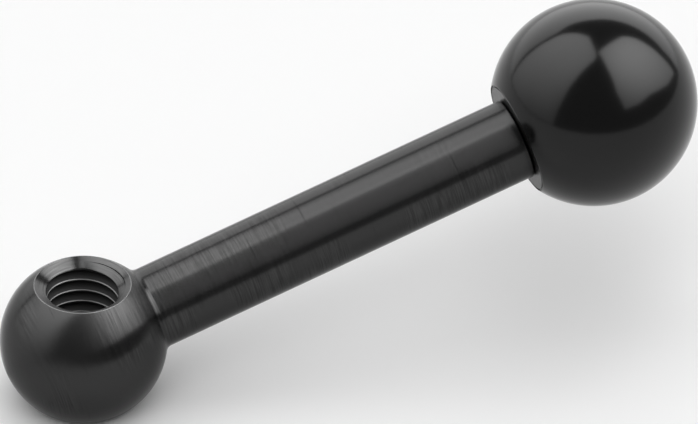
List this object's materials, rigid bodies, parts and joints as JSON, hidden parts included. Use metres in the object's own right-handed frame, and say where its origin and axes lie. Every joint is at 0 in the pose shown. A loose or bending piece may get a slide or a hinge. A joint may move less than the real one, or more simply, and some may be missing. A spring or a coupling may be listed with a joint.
{
  "type": "ball handle",
  "caption": "Inclined ball lever: a blackened steel lever with a tapped ball hub, and a glossy black ball knob on its far end.",
  "frame": {"origin": "centre of the hub ball, where the axis of the tapped hole meets the axis of the shank", "axes": "+Z along the tapped hole, out of the mouth that the shank leans towards; the shank lies in the XZ plane and rises 15 degrees from +X"},
  "size_m": [0.0705, 0.02, 0.0306],
  "materials": {
    "blackened_steel": "turned, black-oxidised and oiled, satin",
    "phenolic": "moulded black phenolic, polished"
  },
  "bodies": {
    "root": {"lever": "blackened_steel", "ball_knob": "phenolic"}
  },
  "joints": []
}
